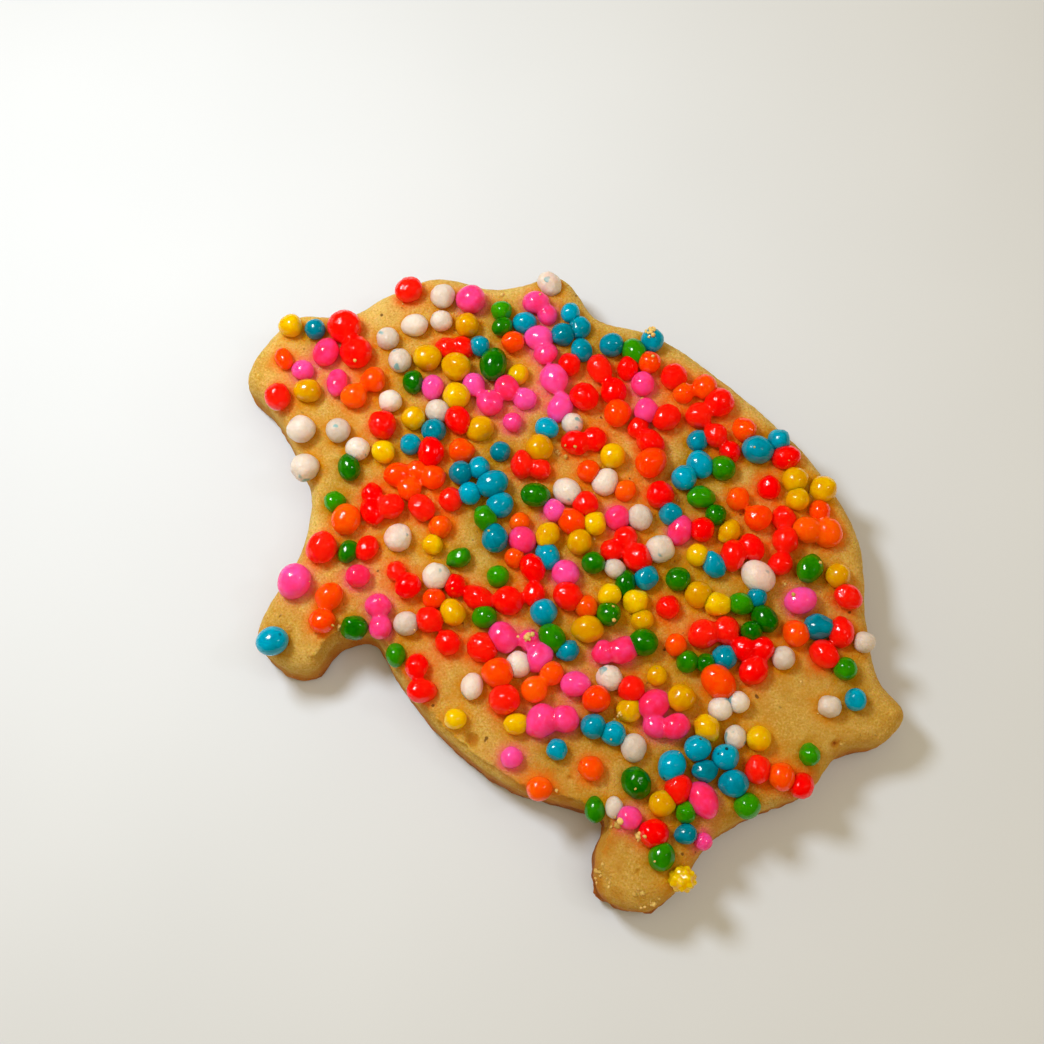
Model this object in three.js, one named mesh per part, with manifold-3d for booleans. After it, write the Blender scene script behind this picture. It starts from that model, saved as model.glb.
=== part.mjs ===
// A sprinkle cookie: one flat, animal-shaped butter biscuit, crusted on top with round sugar sprinkles.
// Millimetres, +Z up. The cookie lies on its flat underside, with its snout towards -X, its tail
// towards +X, its back towards +Y and its feet towards -Y. The origin is under the middle of its box.

import * as THREE from "three";
import { mergeVertices } from "three/addons/utils/BufferGeometryUtils.js";
import Module from "manifold-3d";

// The dough.
const DOUGH_HEIGHT = 5.6; // underside to the flat of the top
const TOP_ROUND = 2; // radius of the rounded top edge
const RIM_CHAMFER = 0.4; // small chamfer round the underside
const WALL_LEAN = 0.15; // how far the side wall draws in between its foot and the rounded edge
const ROUND_STEPS = 3; // faces across the rounded top edge
const STEPS_PER_POINT = 3; // straight pieces of the outline between two of its points

// The outline of the cutter, counter-clockwise, as the points that one smooth closed curve runs through.
const SNOUT = [
  [-33.4, 6.3], // brow
  [-34.3, 2.4], // nose
  [-33.4, -1.8], // chin
  [-29.4, -3.0],
  [-25.0, -5.4],
  [-21.9, -7.8], // throat
];
const FRONT_LEG = [
  [-19.7, -12.2],
  [-19.2, -18.2],
  [-18.3, -21.2], // toe
  [-14.6, -22.1],
  [-12.3, -20.8], // heel
  [-11.9, -17.6],
  [-9.8, -15.5], // where the leg meets the belly
];
const BELLY = [
  [-5.6, -17.3],
  [0.2, -19.3],
  [8.0, -19.9],
  [12.6, -18.6],
  [16.2, -17.8], // where the belly meets the rear leg
];
const REAR_LEG = [
  [17.1, -20.6],
  [19.3, -23.3], // toe
  [23.4, -22.4],
  [24.8, -19.6], // heel
  [25.1, -14.4],
];
const RUMP = [
  [26.8, -10.6],
  [30.0, -6.0],
  [30.8, -1.6], // under the tail
];
const TAIL = [
  [33.4, 1.2],
  [33.8, 4.6], // tip
  [30.3, 6.1], // over the tail
];
const BACK = [
  [27.2, 9.5],
  [22.6, 16.2],
  [16.0, 20.0],
  [7.4, 22.3],
  [-3.5, 23.3], // top of the back
  [-9.2, 21.7], // notch behind the ear
];
const EAR_AND_NAPE = [
  [-14.2, 23.4], // tip of the ear
  [-18.9, 19.2], // dip
  [-24.4, 16.9], // crown
  [-27.4, 12.9],
  [-29.2, 9.2], // hollow over the brow
];

// The sprinkles: sugar balls, most of them a little longer than wide, part sunk in the dough.
const SPRINKLE_COUNT = 310; // all of them, with those laid by hand
const SPRINKLE_SEED = 25;
const SMALL_RADIUS = 0.85;
const LARGE_RADIUS = 1.4;
const LONGEST_STRETCH = 1.3; // length over width of the longest ones
const LEAST_SUNK = 0.14; // share of its height that a sprinkle is pressed into the dough
const MOST_SUNK = 0.34;
const EDGE_MARGIN = 2.1; // most sprinkles keep this far in from the outline
const EDGE_STRAY_MARGIN = 0.9; // a few strays lie on the rounded edge
const STRAY_SHARE = 0.14;
const TWIN_SHARE = 0.18; // share of the sprinkles that lie stuck to the one before
const TWIN_GAP = 0.82; // distance of two stuck sprinkles, over the sum of their radii
const LEAST_TWIN_GAP = 0.81; // the least that counts as that distance, so that rounding drops none
const CLOSE_GAP = 0.86; // least distance of two others, over the same sum
const WIDE_GAP = 3.2; // the same in the middle of a thin patch
const MOST_TRIES = 60000;
const MODELLED_COUNT = 284; // the largest ones are part of the solid, and the rest are left out of it

// The sprinkles on the bare feet and along the edge show one by one, so they are laid by hand, and the
// others are strewn between them. Each is [x, y, radius, length over width, degrees that it is turned].
const FRONT_FOOT_SPRINKLES = [
  [-16.2, -20.5, 1.3, 1.15, 55],
  [-17.6, -15.2, 1.4, 1.15, 90],
  [-14.4, -14.7, 1.15, 1.1, 80],
  [-13.7, -16.9, 1.05, 1.1, 35],
  [-11.3, -15.5, 1.1, 1.2, 35],
  [-10.3, -13.0, 1.05, 1.1, 35],
  [-9.0, -14.3, 1.0, 1.1, 125],
  [-7.3, -13.0, 1.1, 1.05, 35],
  [-13.4, -11.8, 1.0, 1.1, 35],
  [-17.5, -11.4, 1.3, 1.1, 95],
];
const BELLY_EDGE_SPRINKLES = [
  [-6.4, -15.6, 0.9, 1.2, 125],
  [-4.4, -15.6, 1.0, 1.1, 125],
  [-2.8, -17.0, 1.0, 1.35, 35],
  [1.0, -17.6, 0.95, 1.05, 35],
  [6.9, -17.8, 0.9, 1.05, 35],
  [10.2, -18.4, 1.05, 1.05, 35],
];
const REAR_FOOT_SPRINKLES = [
  [15.2, -17.2, 0.9, 1.35, 125],
  [16.6, -16.4, 0.8, 1.2, 125],
  [18.1, -16.6, 1.0, 1.05, 35],
  [20.5, -16.6, 1.2, 1.05, 35],
  [22.1, -17.9, 1.15, 1.1, 95],
  [19.8, -14.1, 1.15, 1.05, 35],
  [21.9, -13.6, 0.95, 1.0, 35],
  [22.9, -15.1, 0.9, 1.15, 35],
  [24.2, -14.8, 0.75, 1.05, 35],
  [24.2, -18.4, 1.15, 1.05, 35],
  [22.6, -11.9, 1.2, 1.35, 150],
  [19.9, -8.4, 1.15, 1.05, 35],
  [22.4, -7.7, 1.15, 1.05, 35],
  [21.5, -9.7, 1.0, 1.2, 35],
];
const FACE_SPRINKLES = [
  [-32.2, 4.6, 1.1, 1.05, 35],
  [-30.2, 5.6, 1.0, 1.0, 35],
  [-28.0, 7.2, 1.5, 1.05, 35],
  [-25.6, 5.7, 1.45, 1.05, 155],
  [-28.0, 4.2, 1.15, 1.2, 100],
  [-31.0, 1.6, 0.8, 1.35, 150],
  [-28.8, 1.6, 0.95, 1.05, 35],
  [-25.5, 2.4, 0.95, 1.45, 120],
  [-27.2, 0.2, 1.15, 1.15, 35],
  [-29.2, -1.6, 1.15, 1.05, 125],
  [-22.7, 4.4, 1.15, 1.0, 35],
  [-23.3, 2.1, 1.15, 1.05, 35],
  [-24.0, 8.5, 1.05, 1.05, 35],
  [-21.8, 7.3, 1.1, 1.05, 125],
  [-22.6, 11.0, 1.1, 1.15, 35],
  [-20.8, 12.7, 1.0, 1.05, 35],
  [-22.1, 14.9, 1.15, 1.05, 125],
  [-19.8, 8.9, 1.25, 1.1, 35],
  [-19.6, 6.2, 1.0, 1.15, 125],
  [-17.8, 6.8, 1.0, 1.15, 115],
  [-22.7, -1.5, 1.15, 1.0, 35],
  [-20.2, -2.0, 1.1, 1.05, 35],
  [-19.6, 1.2, 1.25, 1.05, 125],
  [-20.3, 3.5, 1.05, 1.05, 35],
  [-17.5, 3.3, 1.1, 1.05, 35],
  [-18.0, -0.9, 1.1, 1.0, 35],
  [-16.4, 1.0, 1.0, 1.0, 35],
  [-15.3, 3.3, 1.1, 1.05, 35],
];
const HEAD_AND_BACK_SPRINKLES = [
  [-25.5, -3.1, 1.3, 1.05, 35],
  [-23.0, -5.6, 1.3, 1.05, 35],
  [-25.0, 13.6, 1.15, 1.15, 65],
  [-19.6, 16.0, 1.3, 1.05, 35],
  [-6.1, 19.3, 1.15, 1.05, 35],
  [-3.2, 21.7, 1.1, 1.05, 125],
];
const TAIL_SPRINKLES = [
  [27.3, 7.5, 0.95, 1.05, 35],
  [27.2, 4.6, 1.05, 1.05, 35],
  [29.3, 2.7, 0.95, 1.1, 125],
  [27.7, 1.0, 1.0, 1.05, 35],
  [28.3, -3.6, 0.95, 1.05, 125],
];
const LAID_SUNK = 0.2; // share of its height that each of these is pressed into the dough

// A sprinkle in the solid is a bead with few sides. This is half its outline, from its foot up to its
// top, as shares of its radius.
const BEAD_SIDES = 5;
const BEAD_PROFILE = [
  [0, -1],
  [0.93, -0.31], // widest, just over the dough
  [0.73, 0.6],
  [0, 1],
];

// Patches with few sprinkles: middle x, middle y, radius.
const THIN_PATCHES = [
  [-15.0, -19.5, 7.5], // front foot
  [21.5, -22.0, 8.5], // rear foot
  [32.0, 3.0, 6.5], // tail
  [25.0, -1.0, 5.0], // haunch
  [3.0, -18.5, 4.5], // belly
  [-28.5, -1.5, 3.5], // jaw
  [-25.5, 5.0, 8.5], // face, where those laid by hand leave gaps
];

const doughMaterial = new THREE.MeshStandardMaterial({ color: 0xd9b26c, roughness: 0.85, metalness: 0 });

// A small seeded generator of numbers from 0 to 1, so that every build strews the same sprinkles.
function seededRandom(seed) {
  let state = seed >>> 0;
  return () => {
    state = (state + 0x6d2b79f5) >>> 0;
    let mixed = Math.imul(state ^ (state >>> 15), state | 1);
    mixed ^= mixed + Math.imul(mixed ^ (mixed >>> 7), mixed | 61);
    return ((mixed ^ (mixed >>> 14)) >>> 0) / 4294967296;
  };
}

function mix(low, high, share) {
  return low + (high - low) * share;
}

// The outline as straight pieces, with the middle of its box at the origin.
function makeOutline() {
  const points = [...SNOUT, ...FRONT_LEG, ...BELLY, ...REAR_LEG, ...RUMP, ...TAIL, ...BACK, ...EAR_AND_NAPE];
  const through = points.map(([x, y]) => new THREE.Vector3(x, y, 0));
  const curve = new THREE.CatmullRomCurve3(through, true, "centripetal");
  const outline = curve.getPoints(points.length * STEPS_PER_POINT).slice(0, -1);
  const middle = new THREE.Box3().setFromPoints(outline).getCenter(new THREE.Vector3());
  return outline.map((point) => new THREE.Vector2(point.x - middle.x, point.y - middle.y));
}

// The unit vector that points out of the dough at each point of the outline.
function outwardNormals(outline) {
  return outline.map((_, i) => {
    const before = outline.at(i - 1);
    const after = outline[(i + 1) % outline.length];
    return new THREE.Vector2(after.y - before.y, before.x - after.x).normalize();
  });
}

// How far in from the outline the dough's side lies, and how high, from the underside up to the top.
function sideProfile() {
  const profile = [
    [RIM_CHAMFER, 0],
    [0, RIM_CHAMFER],
  ];
  for (let step = 0; step <= ROUND_STEPS; step++) {
    const angle = (step / ROUND_STEPS) * (Math.PI / 2);
    const inset = WALL_LEAN + (TOP_ROUND - WALL_LEAN) * (1 - Math.cos(angle));
    profile.push([inset, DOUGH_HEIGHT - TOP_ROUND * (1 - Math.sin(angle))]);
  }
  return profile;
}

// The dough as one closed surface: a ring of points for each step of the profile, and two flat caps.
function makeDoughGeometry(outline) {
  const normals = outwardNormals(outline);
  const profile = sideProfile();
  const count = outline.length;
  const positions = [];
  for (const [inset, height] of profile) {
    outline.forEach((point, i) => {
      positions.push(point.x - normals[i].x * inset, point.y - normals[i].y * inset, height);
    });
  }
  const faces = [];
  for (let ring = 0; ring < profile.length - 1; ring++) {
    for (let i = 0; i < count; i++) {
      const next = (i + 1) % count;
      const low = ring * count;
      const high = low + count;
      faces.push(low + i, low + next, high + next);
      faces.push(low + i, high + next, high + i);
    }
  }
  const top = (profile.length - 1) * count;
  for (const [a, b, c] of THREE.ShapeUtils.triangulateShape(outline, [])) {
    faces.push(c, b, a);
    faces.push(top + a, top + b, top + c);
  }
  const geometry = new THREE.BufferGeometry();
  geometry.setAttribute("position", new THREE.Float32BufferAttribute(positions, 3));
  geometry.setIndex(faces);
  return geometry;
}

// The nearest point of the outline to a place, and whether the place is inside the outline.
function locate(place, outline) {
  let inside = false;
  let nearest = null;
  let distance = Infinity;
  outline.forEach((start, i) => {
    const end = outline[(i + 1) % outline.length];
    const along = new THREE.Vector2().subVectors(end, start);
    const share = new THREE.Vector2().subVectors(place, start).dot(along) / along.lengthSq();
    const foot = start.clone().addScaledVector(along, Math.min(1, Math.max(0, share)));
    if (foot.distanceTo(place) < distance) {
      nearest = foot;
      distance = foot.distanceTo(place);
    }
    const crosses = start.y > place.y !== end.y > place.y;
    if (crosses && place.x < start.x + ((place.y - start.y) / (end.y - start.y)) * along.x) inside = !inside;
  });
  return { inside, nearest, distance };
}

// How far apart the sprinkles lie at a place, over the sum of their radii.
function gapAt(place) {
  let thinness = 0;
  for (const [x, y, radius] of THIN_PATCHES) {
    const away = Math.hypot(place.x - x, place.y - y) / radius;
    thinness = Math.max(thinness, 1 - away);
  }
  return mix(CLOSE_GAP, WIDE_GAP, thinness);
}

// The sprinkles that are laid by hand.
function layByHand() {
  const laid = [
    ...FRONT_FOOT_SPRINKLES,
    ...BELLY_EDGE_SPRINKLES,
    ...REAR_FOOT_SPRINKLES,
    ...FACE_SPRINKLES,
    ...HEAD_AND_BACK_SPRINKLES,
    ...TAIL_SPRINKLES,
  ];
  return laid.map(([x, y, radius, stretch, degrees]) => {
    return { x, y, radius, stretch, heading: THREE.MathUtils.degToRad(degrees), sunk: LAID_SUNK };
  });
}

// Strews the others by trial: a draw that falls outside the dough or on another sprinkle is dropped.
function strewSprinkles(outline) {
  const random = seededRandom(SPRINKLE_SEED);
  const box = new THREE.Box2().setFromPoints(outline);
  const sprinkles = layByHand();
  for (let tries = 0; tries < MOST_TRIES && sprinkles.length < SPRINKLE_COUNT; tries++) {
    const radius = mix(SMALL_RADIUS, LARGE_RADIUS, (random() + random()) / 2);
    const stretch = mix(1, LONGEST_STRETCH, random() ** 2);
    const heading = random() * Math.PI;
    const sunk = mix(LEAST_SUNK, MOST_SUNK, random());
    const margin = random() < STRAY_SHARE ? EDGE_STRAY_MARGIN : EDGE_MARGIN;
    const place = new THREE.Vector2(mix(box.min.x, box.max.x, random()), mix(box.min.y, box.max.y, random()));
    const twin = random() < TWIN_SHARE ? sprinkles.at(-1) : undefined;
    if (twin) {
      const direction = random() * 2 * Math.PI;
      const reach = TWIN_GAP * (radius + twin.radius);
      place.set(twin.x + reach * Math.cos(direction), twin.y + reach * Math.sin(direction));
    }
    const sprinkle = { x: place.x, y: place.y, radius, stretch, heading, sunk };
    if (fits(sprinkle, twin, margin, sprinkles, outline, box)) sprinkles.push(sprinkle);
  }
  return sprinkles;
}

// Whether a sprinkle lies far enough in from the outline, inside the cookie's box and clear of the others.
function fits(sprinkle, twin, margin, sprinkles, outline, box) {
  const { inside, distance } = locate(new THREE.Vector2(sprinkle.x, sprinkle.y), outline);
  if (!inside || distance < margin) return false;
  const reach = sprinkle.radius * sprinkle.stretch;
  if (sprinkle.x - reach < box.min.x || sprinkle.x + reach > box.max.x) return false;
  if (sprinkle.y - reach < box.min.y || sprinkle.y + reach > box.max.y) return false;
  const gap = gapAt(sprinkle);
  return sprinkles.every((other) => {
    const least = (other === twin ? LEAST_TWIN_GAP : gap) * (sprinkle.radius + other.radius);
    return Math.hypot(sprinkle.x - other.x, sprinkle.y - other.y) >= least;
  });
}

// Where a sprinkle's middle lies: straight over the flat top, and leaning out on the rounded edge.
function sprinkleCentre({ x, y, radius, sunk }, outline) {
  const place = new THREE.Vector2(x, y);
  const { nearest, distance } = locate(place, outline);
  const lean = Math.max(0, 1 - distance / TOP_ROUND); // sine of the surface's slope
  const level = Math.sqrt(1 - lean * lean);
  const rise = radius * (1 - 2 * sunk);
  const outward = nearest.sub(place).normalize().multiplyScalar(rise * lean);
  return new THREE.Vector3(x + outward.x, y + outward.y, DOUGH_HEIGHT - TOP_ROUND * (1 - level) + rise * level);
}

function makeSprinkleGeometry(sprinkle, outline) {
  const { radius, stretch, heading } = sprinkle;
  const profile = BEAD_PROFILE.map(([width, height]) => new THREE.Vector2(width, height));
  const bead = new THREE.LatheGeometry(profile, BEAD_SIDES);
  bead.rotateX(Math.PI / 2);
  bead.scale(radius * stretch, radius, radius);
  bead.rotateZ(heading);
  bead.translate(...sprinkleCentre(sprinkle, outline));
  return bead;
}

const wasm = await Module();
wasm.setup();

function solidFrom(geometry) {
  const bare = geometry.clone();
  bare.deleteAttribute("normal");
  bare.deleteAttribute("uv");
  const merged = mergeVertices(bare);
  const vertProperties = merged.attributes.position.array;
  const triVerts = new Uint32Array(merged.index.array);
  return new wasm.Manifold(new wasm.Mesh({ numProp: 3, vertProperties, triVerts }));
}

function geometryFrom(solid) {
  const { vertProperties, triVerts } = solid.getMesh();
  const geometry = new THREE.BufferGeometry();
  geometry.setAttribute("position", new THREE.BufferAttribute(vertProperties, 3));
  geometry.setIndex(new THREE.BufferAttribute(triVerts, 1));
  geometry.computeVertexNormals();
  return geometry;
}

// The dough with its largest sprinkles joined to it, as one solid.
function makeCookie() {
  const outline = makeOutline();
  const largestFirst = strewSprinkles(outline).sort((a, b) => b.radius - a.radius);
  let cookie = solidFrom(makeDoughGeometry(outline));
  for (const sprinkle of largestFirst.slice(0, MODELLED_COUNT)) {
    cookie = cookie.add(solidFrom(makeSprinkleGeometry(sprinkle, outline)));
  }
  const mesh = new THREE.Mesh(geometryFrom(cookie), doughMaterial);
  mesh.name = "cookie";
  return mesh;
}

const group = new THREE.Group();
group.add(makeCookie());

export default group;
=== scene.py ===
"""A sprinkle cookie, lying on a pale floor and seen from above, as in the photograph.

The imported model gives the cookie's place and its box. The dough, the sprinkles and the crumbs made here
stand for its one plain solid: the dough follows the same outline, and every sprinkle lies where the solid
has it, because the rule that strews them is the same. Lengths are in millimetres in the model's own frame,
with the snout towards -X, the tail towards +X, the back towards +Y and the feet towards -Y, and they turn
into metres where an object is made.
"""

import math

import bmesh
import bpy
import numpy as np
from mathutils import Matrix, Vector, noise
from mathutils.bvhtree import BVHTree
from mathutils.kdtree import KDTree


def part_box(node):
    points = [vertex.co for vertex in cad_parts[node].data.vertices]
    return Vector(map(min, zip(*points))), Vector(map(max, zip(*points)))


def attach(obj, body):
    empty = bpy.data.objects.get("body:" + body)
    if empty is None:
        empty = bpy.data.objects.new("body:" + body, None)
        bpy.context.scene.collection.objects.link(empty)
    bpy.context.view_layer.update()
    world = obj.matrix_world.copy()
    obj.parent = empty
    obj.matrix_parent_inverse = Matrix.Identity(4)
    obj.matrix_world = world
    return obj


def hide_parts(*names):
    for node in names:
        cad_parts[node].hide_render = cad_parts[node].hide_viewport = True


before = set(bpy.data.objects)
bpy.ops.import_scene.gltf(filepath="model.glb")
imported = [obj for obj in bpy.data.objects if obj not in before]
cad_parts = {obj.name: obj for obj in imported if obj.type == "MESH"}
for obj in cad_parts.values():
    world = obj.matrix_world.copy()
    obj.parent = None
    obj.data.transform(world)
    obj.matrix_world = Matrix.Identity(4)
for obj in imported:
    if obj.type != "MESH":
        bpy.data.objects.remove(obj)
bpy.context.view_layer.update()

MM = 0.001
NODE = "cookie"
BODY = "root"
BOX_LOW, BOX_HIGH = (np.array(corner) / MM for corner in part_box(NODE))

# ---------- The form of the cookie, as in the solid ----------

DOUGH_HEIGHT = 5.6
TOP_ROUND = 2.0  # radius of the rounded top edge
RIM_CHAMFER = 0.4
WALL_LEAN = 0.15  # how far the side wall draws in between its foot and the rounded edge
STEPS_PER_POINT = 3  # straight pieces between two points of the outline that the sprinkles are fitted to
SMOOTH_STEPS_PER_POINT = 12  # the same for the dough's own outline
ROUND_STEPS = 10  # faces across the rounded top edge

# The outline of the cutter, counter-clockwise, as the points that one smooth closed curve runs through.
SNOUT = [(-33.4, 6.3), (-34.3, 2.4), (-33.4, -1.8), (-29.4, -3.0), (-25.0, -5.4), (-21.9, -7.8)]
FRONT_LEG = [
    (-19.7, -12.2), (-19.2, -18.2), (-18.3, -21.2), (-14.6, -22.1), (-12.3, -20.8), (-11.9, -17.6),
    (-9.8, -15.5),
]
BELLY = [(-5.6, -17.3), (0.2, -19.3), (8.0, -19.9), (12.6, -18.6), (16.2, -17.8)]
REAR_LEG = [(17.1, -20.6), (19.3, -23.3), (23.4, -22.4), (24.8, -19.6), (25.1, -14.4)]
RUMP = [(26.8, -10.6), (30.0, -6.0), (30.8, -1.6)]
TAIL = [(33.4, 1.2), (33.8, 4.6), (30.3, 6.1)]
BACK = [(27.2, 9.5), (22.6, 16.2), (16.0, 20.0), (7.4, 22.3), (-3.5, 23.3), (-9.2, 21.7)]
EAR_AND_NAPE = [(-14.2, 23.4), (-18.9, 19.2), (-24.4, 16.9), (-27.4, 12.9), (-29.2, 9.2)]

SPRINKLE_COUNT = 310
SPRINKLE_SEED = 25
SMALL_RADIUS = 0.85
LARGE_RADIUS = 1.4
LONGEST_STRETCH = 1.3  # length over width of the longest ones
LEAST_SUNK = 0.14  # share of its height that a sprinkle is pressed into the dough
MOST_SUNK = 0.34
LAID_SUNK = 0.2  # the same share for the listed ones
EDGE_MARGIN = 2.1  # most sprinkles keep this far in from the outline
EDGE_STRAY_MARGIN = 0.9  # a few strays lie on the rounded edge
STRAY_SHARE = 0.14
TWIN_SHARE = 0.18  # share of the sprinkles that lie stuck to the one before
TWIN_GAP = 0.82  # distance of two stuck sprinkles, over the sum of their radii
LEAST_TWIN_GAP = 0.81  # the least that counts as that distance, so that rounding drops none
CLOSE_GAP = 0.86  # least distance of two others, over the same sum
WIDE_GAP = 3.2  # the same in the middle of a thin patch
MOST_TRIES = 60000

# Patches with few sprinkles: middle x, middle y, radius.
THIN_PATCHES = [
    (-15.0, -19.5, 7.5),  # front foot
    (21.5, -22.0, 8.5),  # rear foot
    (32.0, 3.0, 6.5),  # tail
    (25.0, -1.0, 5.0),  # haunch
    (3.0, -18.5, 4.5),  # belly
    (-28.5, -1.5, 3.5),  # jaw
    (-25.5, 5.0, 8.5),  # face, where the listed ones leave gaps
]

# The sprinkles that are given one by one: colour, x, y, radius, length over width, degrees it is turned.
FRONT_FOOT_SPRINKLES = [
    ("teal", -16.2, -20.5, 1.3, 1.15, 55),
    ("pink", -17.6, -15.2, 1.4, 1.15, 90),
    ("orange", -14.4, -14.7, 1.15, 1.1, 80),
    ("orange", -13.7, -16.9, 1.05, 1.1, 35),
    ("green", -11.3, -15.5, 1.1, 1.2, 35),
    ("pink", -10.3, -13.0, 1.05, 1.1, 35),
    ("pink", -9.0, -14.3, 1.0, 1.1, 125),
    ("white", -7.3, -13.0, 1.1, 1.05, 35),
    ("pink", -13.4, -11.8, 1.0, 1.1, 35),
    ("red", -17.5, -11.4, 1.3, 1.1, 95),
]
BELLY_EDGE_SPRINKLES = [
    ("green", -6.4, -15.6, 0.9, 1.2, 125),
    ("red", -4.4, -15.6, 1.0, 1.1, 125),
    ("red", -2.8, -17.0, 1.0, 1.35, 35),
    ("yellow", 1.0, -17.6, 0.95, 1.05, 35),
    ("pink", 6.9, -17.8, 0.9, 1.05, 35),
    ("orange", 10.2, -18.4, 1.05, 1.05, 35),
]
REAR_FOOT_SPRINKLES = [
    ("green", 15.2, -17.2, 0.9, 1.35, 125),
    ("white", 16.6, -16.4, 0.8, 1.2, 125),
    ("pink", 18.1, -16.6, 1.0, 1.05, 35),
    ("red", 20.5, -16.6, 1.2, 1.05, 35),
    ("green", 22.1, -17.9, 1.15, 1.1, 95),
    ("yellow", 19.8, -14.1, 1.15, 1.05, 35),
    ("green", 21.9, -13.6, 0.95, 1.0, 35),
    ("teal", 22.9, -15.1, 0.9, 1.15, 35),
    ("pink", 24.2, -14.8, 0.75, 1.05, 35),
    ("yellow", 24.2, -18.4, 1.15, 1.05, 35),
    ("pink", 22.6, -11.9, 1.2, 1.35, 150),
    ("teal", 19.9, -8.4, 1.15, 1.05, 35),
    ("teal", 22.4, -7.7, 1.15, 1.05, 35),
    ("teal", 21.5, -9.7, 1.0, 1.2, 35),
]
FACE_SPRINKLES = [
    ("yellow", -32.2, 4.6, 1.1, 1.05, 35),
    ("teal", -30.2, 5.6, 1.0, 1.0, 35),
    ("red", -28.0, 7.2, 1.5, 1.05, 35),
    ("red", -25.6, 5.7, 1.45, 1.05, 155),
    ("pink", -28.0, 4.2, 1.15, 1.2, 100),
    ("orange", -31.0, 1.6, 0.8, 1.35, 150),
    ("pink", -28.8, 1.6, 0.95, 1.05, 35),
    ("pink", -25.5, 2.4, 0.95, 1.45, 120),
    ("yellow", -27.2, 0.2, 1.15, 1.15, 35),
    ("red", -29.2, -1.6, 1.15, 1.05, 125),
    ("orange", -22.7, 4.4, 1.15, 1.0, 35),
    ("orange", -23.3, 2.1, 1.15, 1.05, 35),
    ("white", -24.0, 8.5, 1.05, 1.05, 35),
    ("white", -21.8, 7.3, 1.1, 1.05, 125),
    ("white", -22.6, 11.0, 1.1, 1.15, 35),
    ("white", -20.8, 12.7, 1.0, 1.05, 35),
    ("white", -22.1, 14.9, 1.15, 1.05, 125),
    ("yellow", -19.8, 8.9, 1.25, 1.1, 35),
    ("green", -19.6, 6.2, 1.0, 1.15, 125),
    ("pink", -17.8, 6.8, 1.0, 1.15, 115),
    ("white", -22.7, -1.5, 1.15, 1.0, 35),
    ("white", -20.2, -2.0, 1.1, 1.05, 35),
    ("red", -19.6, 1.2, 1.25, 1.05, 125),
    ("white", -20.3, 3.5, 1.05, 1.05, 35),
    ("yellow", -17.5, 3.3, 1.1, 1.05, 35),
    ("yellow", -18.0, -0.9, 1.1, 1.0, 35),
    ("teal", -16.4, 1.0, 1.0, 1.0, 35),
    ("teal", -15.3, 3.3, 1.1, 1.05, 35),
]
HEAD_AND_BACK_SPRINKLES = [
    ("white", -25.5, -3.1, 1.3, 1.05, 35),
    ("white", -23.0, -5.6, 1.3, 1.05, 35),
    ("red", -25.0, 13.6, 1.15, 1.15, 65),
    ("pink", -19.6, 16.0, 1.3, 1.05, 35),
    ("teal", -6.1, 19.3, 1.15, 1.05, 35),
    ("teal", -3.2, 21.7, 1.1, 1.05, 125),
]
TAIL_SPRINKLES = [
    ("white", 27.3, 7.5, 0.95, 1.05, 35),
    ("green", 27.2, 4.6, 1.05, 1.05, 35),
    ("teal", 29.3, 2.7, 0.95, 1.1, 125),
    ("white", 27.7, 1.0, 1.0, 1.05, 35),
    ("green", 28.3, -3.6, 0.95, 1.05, 125),
]
SPIKED_PLACES = [(24.2, -18.4), (2.4, -8.5)]  # the sprinkles nearest to these burst into crystals

# ---------- The colours ----------


def linear(red, green, blue):
    """A colour as it shows on a screen, 0 to 255 each, as the linear RGBA that shaders use."""
    shares = [value / 255 for value in (red, green, blue)]
    return tuple(s / 12.92 if s <= 0.04045 else ((s + 0.055) / 1.055) ** 2.4 for s in shares) + (1.0,)


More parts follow.
